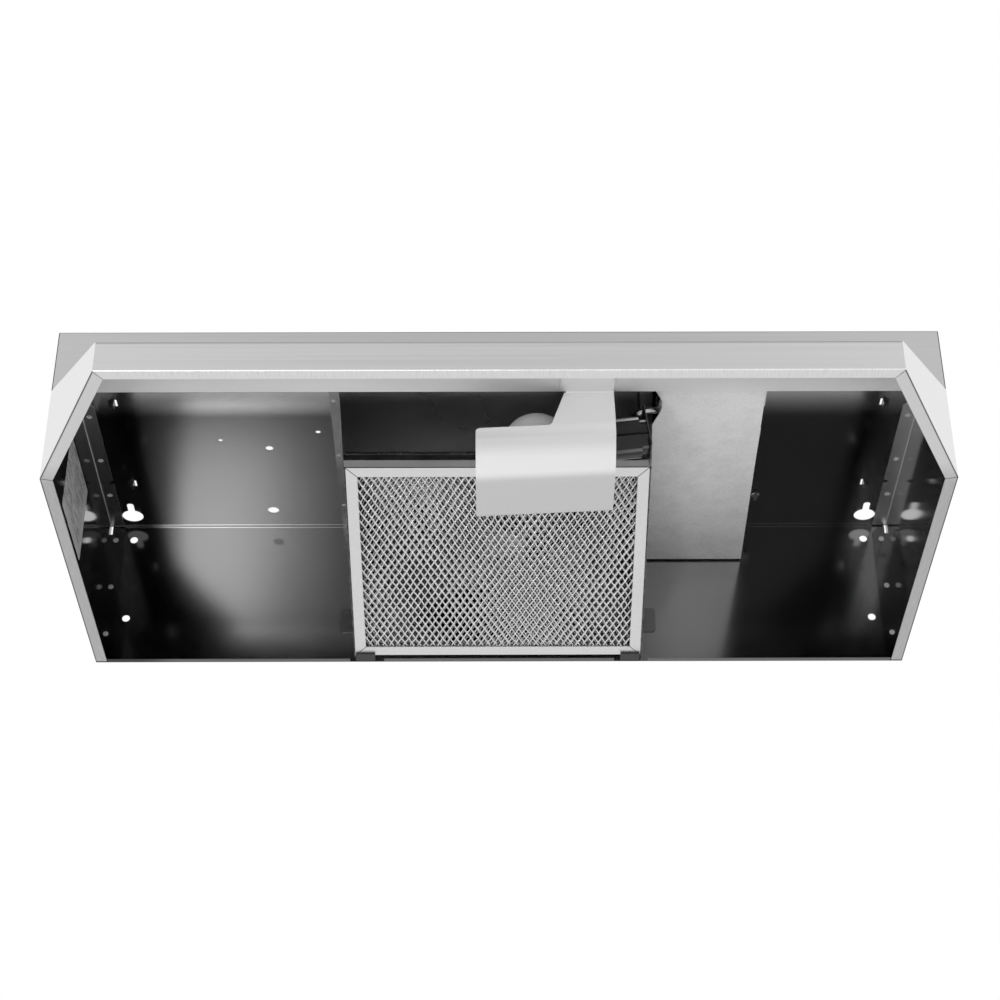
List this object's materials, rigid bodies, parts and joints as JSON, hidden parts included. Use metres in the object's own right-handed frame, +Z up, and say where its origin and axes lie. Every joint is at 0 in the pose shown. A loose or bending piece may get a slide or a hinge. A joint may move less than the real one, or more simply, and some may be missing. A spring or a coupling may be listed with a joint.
{
  "type": "under cabinet range hood",
  "caption": "Stainless under cabinet range hood with mitred front, sloped visor, mesh grease filter, fan and damper, lamp behind a white lens, wiring compartment and rocker switches.",
  "frame": {"origin": "middle of the top panel's rear edge, on the cabinet underside plane and the wall plane", "axes": "+Z up into the cabinet, +Y into the wall, -Y out to the front lip, +X to the right seen from the front"},
  "size_m": [0.7588, 0.4572, 0.1844],
  "materials": {
    "stainless": "horizontally brushed outside, darker and glossier inside",
    "housing_steel": "glossy sheet, dark in reflection",
    "galvanised": "pale zinc coated, slightly mottled",
    "dark_clip": "satin black",
    "filter_aluminium": "bright, satin",
    "zinc": "zinc plated",
    "lamination": "varnished laminations",
    "bright_steel": "ground",
    "fan_aluminium": "plain mill finish",
    "coil_wrap": "taped winding",
    "bronze": "satin",
    "black_plastic": "glossy black",
    "lead_black": "glossy insulation",
    "lead_white": "satin insulation",
    "wire_nut": "moulded",
    "ground_green": "coated",
    "frosted_glass": "frosted",
    "bulb_metal": "spun cap",
    "lens_plastic": "translucent white",
    "label_film": "blank printed film"
  },
  "bodies": {
    "hood": {"top_panel": "stainless", "back_panel": "stainless", "front_fascia": "stainless", "visor": "stainless", "side_panel_left": "stainless", "side_panel_right": "stainless", "spot_welds": "stainless", "ceiling_tabs": "stainless", "chamber_front": "housing_steel", "chamber_side_left": "housing_steel", "chamber_side_right": "housing_steel", "filter_ledge": "housing_steel", "filter_clips": "dark_clip", "orifice_plate": "housing_steel", "motor_strap": "housing_steel", "strap_screws": "zinc", "motor_stator": "lamination", "motor_coil": "coil_wrap", "motor_brackets": "zinc", "motor_bushes": "bronze", "motor_bolts": "zinc", "duct_connector": "galvanised", "connector_screws": "zinc", "wiring_cover": "galvanised", "wiring_divider": "housing_steel", "cover_screws": "zinc", "cable_knockout": "housing_steel", "ground_screw": "ground_green", "wire_nuts": "wire_nut", "light_switch_housing": "black_plastic", "fan_switch_housing": "black_plastic", "lamp_socket": "black_plastic", "socket_shell": "bronze", "socket_contact": "bronze", "socket_bracket": "galvanised", "rating_label": "label_film", "lamp_lead": "lead_black", "motor_lead": "lead_black", "supply_leads": "lead_white", "lead_grommet": "lead_black"},
    "fan": {"fan_blade": "fan_aluminium", "motor_shaft": "bright_steel", "motor_rotor": "lamination"},
    "damper": {"damper_flap": "galvanised", "damper_pin": "zinc"},
    "filter": {"filter_frame": "filter_aluminium", "filter_mesh": "filter_aluminium"},
    "lens": {"light_lens": "lens_plastic"},
    "bulb": {"bulb_glass": "frosted_glass", "bulb_base": "bulb_metal"},
    "light_switch": {"light_rocker": "black_plastic"},
    "fan_switch": {"fan_rocker": "black_plastic"}
  },
  "joints": [
    {"name": "fan_spin", "type": "hinge", "parent": "hood", "child": "fan", "pos_m": [0, -0.113, -0.042], "axis": [0, 0, 1], "continuous": true},
    {"name": "damper_swing", "type": "hinge", "parent": "hood", "child": "damper", "pos_m": [0, -0.0971, 0.0122], "axis": [1, 0, 0], "range_deg": [0, 75]},
    {"name": "filter_swing", "type": "hinge", "parent": "hood", "child": "filter", "pos_m": [0, -0.0107, -0.1511], "axis": [1, 0, 0], "range_deg": [0, 20]},
    {"name": "lens_drop", "type": "slide", "parent": "hood", "child": "lens", "axis": [0, 0, -1], "range_m": [0, 0.06]},
    {"name": "bulb_turn", "type": "hinge", "parent": "hood", "child": "bulb", "pos_m": [0.032, -0.28, -0.1024], "axis": [0.9914, 0, 0.1305], "continuous": true},
    {"name": "light_switch_rock", "type": "hinge", "parent": "hood", "child": "light_switch", "pos_m": [0.168, -0.3055, -0.0254], "axis": [0, 0, 1], "range_deg": [-18, 0]},
    {"name": "fan_switch_rock", "type": "hinge", "parent": "hood", "child": "fan_switch", "pos_m": [0.206, -0.3055, -0.0254], "axis": [0, 0, 1], "range_deg": [-9, 9]}
  ]
}
